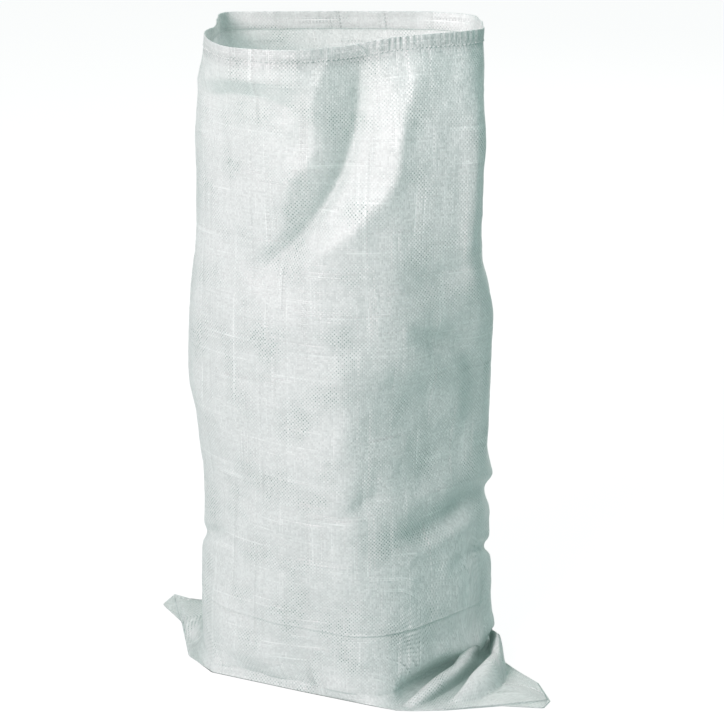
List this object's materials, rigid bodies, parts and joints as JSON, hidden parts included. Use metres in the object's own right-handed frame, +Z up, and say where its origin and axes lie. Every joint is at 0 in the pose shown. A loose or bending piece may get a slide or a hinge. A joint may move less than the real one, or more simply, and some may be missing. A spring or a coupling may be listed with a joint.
{
  "type": "rubble sack",
  "caption": "White woven polypropylene rubble sack standing open, with a hemmed mouth, a boxed-out base and a stitched bottom seam ending in two flat ears.",
  "frame": {"origin": "middle of the base, on the floor that the sack stands on", "axes": "+Z up to the open mouth, +X along the bottom seam to the right-hand ear, -Y the front"},
  "size_m": [0.618, 0.3693, 0.873],
  "materials": {
    "woven_polypropylene": "flat white slit tapes in a plain weave, slightly shiny",
    "sewing_thread": "matt white twisted sewing thread"
  },
  "bodies": {
    "root": {"sack_body": "woven_polypropylene", "mouth_hem_thread": "sewing_thread", "bottom_seam_thread": "sewing_thread"}
  },
  "joints": []
}
